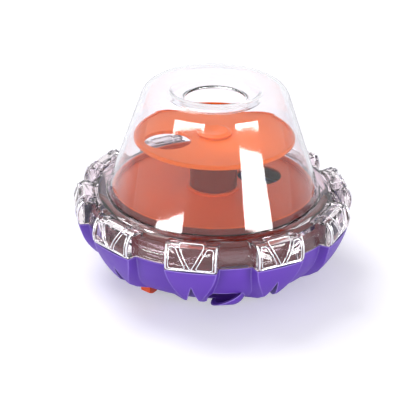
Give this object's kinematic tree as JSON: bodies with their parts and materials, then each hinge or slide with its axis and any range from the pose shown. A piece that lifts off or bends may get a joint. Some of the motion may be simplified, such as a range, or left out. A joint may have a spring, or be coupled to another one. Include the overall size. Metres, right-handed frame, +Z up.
{
  "type": "treat dispensing ball",
  "caption": "Round-bottomed treat dispenser with a petal bowl, a clear dome with a funnel mouth, holed trays inside and a shuttered outlet.",
  "frame": {"origin": "on the floor under the middle of the toy, at the underside of the foot pad", "axes": "+Z up through the filling mouth, the front petal towards -Y, the outlet just to its right"},
  "size_m": [0.1954, 0.1954, 0.1417],
  "materials": {
    "clear_dome": "clear polished moulding",
    "purple_bowl": "satin moulding",
    "purple_cap": "satin moulding",
    "orange_trays": "satin moulding",
    "orange_column": "satin moulding",
    "orange_shutter": "satin moulding",
    "zinc_screws": "zinc plated",
    "ballast_steel": "zinc plated disc",
    "foam": "closed-cell foam",
    "foot_rubber": "soft matt rubber"
  },
  "bodies": {
    "base": {"bowl": "purple_bowl", "base_cap": "purple_cap", "ballast_weight": "ballast_steel", "ballast_pad": "foam", "base_screws": "zinc_screws", "foot_pad": "foot_rubber", "lower_tray": "orange_trays", "centre_column": "orange_column", "column_screw": "zinc_screws", "tray_retainer": "orange_column"},
    "dome": {"dome": "clear_dome", "dome_collar": "clear_dome"},
    "upper_tray": {"upper_tray": "orange_trays"},
    "shutter": {"outlet_shutter": "orange_shutter", "outlet_lever": "orange_shutter", "lever_screw": "zinc_screws"}
  },
  "joints": [
    {"name": "dome_twist", "type": "hinge", "parent": "base", "child": "dome", "pos_m": [0, 0, 0.05], "axis": [0, 0, 1], "range_deg": [-18, 0]},
    {"name": "upper_tray_turn", "type": "hinge", "parent": "base", "child": "upper_tray", "pos_m": [0, 0, 0.105], "axis": [0, 0, 1], "continuous": true},
    {"name": "outlet_lever_turn", "type": "hinge", "parent": "base", "child": "shutter", "pos_m": [0, 0, 0.021], "axis": [0, 0, 1], "range_deg": [-21, 0]}
  ]
}
